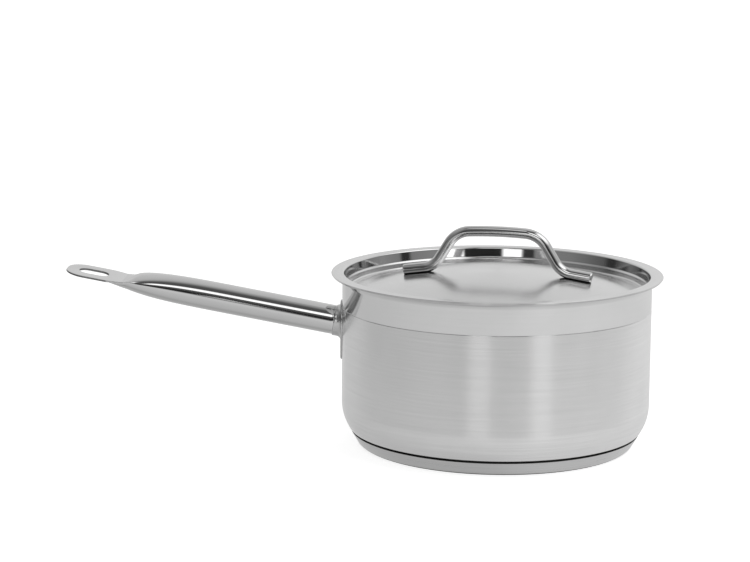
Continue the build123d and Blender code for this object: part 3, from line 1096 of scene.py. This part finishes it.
# The upright panels round the pan, by azimuth, and the elevations that they fill
PANEL_STOPS = [
    (-180, 0.74), (-140, 0.60), (-118, 0.20), (-111, 0.15), (-102, 0.04), (-96, 0.04), (-90, 0.12),
    (-60, 0.22), (-30, 0.25), (-28, 0.04), (-20, 0.04), (-18.5, 1.5), (-5, 1.5), (-3.5, 0.02), (25.5, 0.02),
    (27, 1.5), (40, 1.5), (42, 0.25), (70, 0.20), (73, 0.03), (79, 0.03), (82, 0.20), (100, 0.25),
    (117, 0.20), (130, 0.22), (150, 0.50), (165, 0.74), (180, 0.74),
]
PANEL_HEIGHT_STOPS = [(-90, 0.0), (-2, 0.0), (1, 1.0), (10.5, 1.0), (12.5, 0.0), (90, 0.0)]
# Light falls a little stronger from the right
SIDE_STOPS = [
    (-180, 0.97), (-165, 0.90), (-150, 0.80), (-110, 0.82), (-60, 0.92), (-30, 0.96), (10, 1.0), (35, 1.08),
    (70, 1.08), (110, 1.04), (180, 0.97),
]
FLOOR_REACH = 14.0
FLOOR_PAINT = (0.62, 0.62, 0.62, 1.0)
FLOOR_GLOW = 0.80


def room_light(tree):
    """Brightness of the room that the steel reflects, by azimuth and elevation."""
    heading = add_node(tree, "ShaderNodeTexCoord").outputs["Generated"]
    parts = add_node(tree, "ShaderNodeSeparateXYZ", {0: heading})
    to_front = calculate(tree, "MULTIPLY", parts.outputs["Y"], -1.0)
    azimuth = calculate(tree, "ARCTAN2", parts.outputs["X"], to_front)
    azimuth = calculate(tree, "MULTIPLY_ADD", azimuth, 0.5 / pi, 0.5)
    elevation = calculate(tree, "ARCSINE", parts.outputs["Z"])
    elevation = calculate(tree, "MULTIPLY_ADD", elevation, 1.0 / pi, 0.5)
    front = ramp(tree, elevation, FRONT_STOPS, UPRIGHT_SPAN)
    back = ramp(tree, elevation, BACK_STOPS, UPRIGHT_SPAN)
    panels = ramp(tree, azimuth, PANEL_STOPS, ROUND_SPAN)
    panel_height = ramp(tree, elevation, PANEL_HEIGHT_STOPS, UPRIGHT_SPAN)
    in_front = ramp(tree, azimuth, FRONT_SHARE_STOPS, ROUND_SPAN)
    side = ramp(tree, azimuth, SIDE_STOPS, ROUND_SPAN)
    room = blend(tree, in_front, back, front)
    room = blend(tree, panel_height, room, panels)
    for around, upright in SOFT_BOXES:
        glow = ramp(tree, azimuth, around, ROUND_SPAN)
        reach = ramp(tree, elevation, upright, UPRIGHT_SPAN)
        room = calculate(tree, "MAXIMUM", room, calculate(tree, "MULTIPLY", glow, reach))
    return calculate(tree, "MULTIPLY", room, side)


def studio_world():
    """The room in reflections, with a white background for the eye."""
    world = bpy.data.worlds.new("studio")
    world.use_nodes = True
    tree = world.node_tree
    tree.nodes.clear()
    seen = add_node(tree, "ShaderNodeLightPath").outputs["Is Camera Ray"]
    light = blend(tree, seen, room_light(tree), 1.0)
    shine = add_node(tree, "ShaderNodeBackground", {"Color": light, "Strength": 1.0})
    out = tree.nodes.new("ShaderNodeOutputWorld")
    tree.links.new(shine.outputs[0], out.inputs["Surface"])
    bpy.context.scene.world = world


def studio_floor():
    """A wide pale floor that shows white and keeps the pan's soft shadow."""
    mesh = bpy.data.meshes.new("studio_floor")
    signs = ((-1, -1), (1, -1), (1, 1), (-1, 1))
    mesh.from_pydata([(FLOOR_REACH * x, FLOOR_REACH * y, 0) for x, y in signs], [], [(0, 1, 2, 3)])
    floor = in_scene("studio_floor", mesh)
    finish = bpy.data.materials.new("studio_floor_white")
    finish.use_nodes = True
    tree = finish.node_tree
    tree.nodes.clear()
    seen = add_node(tree, "ShaderNodeLightPath").outputs["Is Camera Ray"]
    paint = add_node(tree, "ShaderNodeBsdfDiffuse", {"Color": FLOOR_PAINT})
    glow = add_node(tree, "ShaderNodeEmission", {"Strength": calculate(tree, "MULTIPLY", seen, FLOOR_GLOW)})
    both = add_node(tree, "ShaderNodeAddShader", {0: paint.outputs[0], 1: glow.outputs[0]})
    out = tree.nodes.new("ShaderNodeOutputMaterial")
    tree.links.new(both.outputs[0], out.inputs["Surface"])
    mesh.materials.append(finish)
    floor.visible_glossy = False


def photo_camera():
    """The camera that the photograph was taken with, as far as the picture tells."""
    lens = bpy.data.cameras.new("photo_camera")
    lens.sensor_fit = "HORIZONTAL"
    lens.sensor_width = SENSOR_WIDTH
    lens.lens = FOCAL_PX * SENSOR_WIDTH / PHOTO_WIDTH_PX
    ahead = Vector((
        sin(CAMERA_YAW) * cos(CAMERA_PITCH),
        cos(CAMERA_YAW) * cos(CAMERA_PITCH),
        -sin(CAMERA_PITCH),
    ))
    level = Vector((cos(CAMERA_YAW), -sin(CAMERA_YAW), 0.0))
    upright = level.cross(ahead)
    right = level * cos(CAMERA_ROLL) + upright * sin(CAMERA_ROLL)
    up = upright * cos(CAMERA_ROLL) - level * sin(CAMERA_ROLL)
    turn = Matrix((right, up, -ahead)).transposed()
    camera = in_scene("photo_camera", lens)
    camera.matrix_world = Matrix.Translation(CAMERA_PLACE) @ turn.to_4x4()
    bpy.context.scene.camera = camera


studio_world()
studio_floor()
photo_camera()
bpy.context.scene.view_settings.view_transform = "Standard"
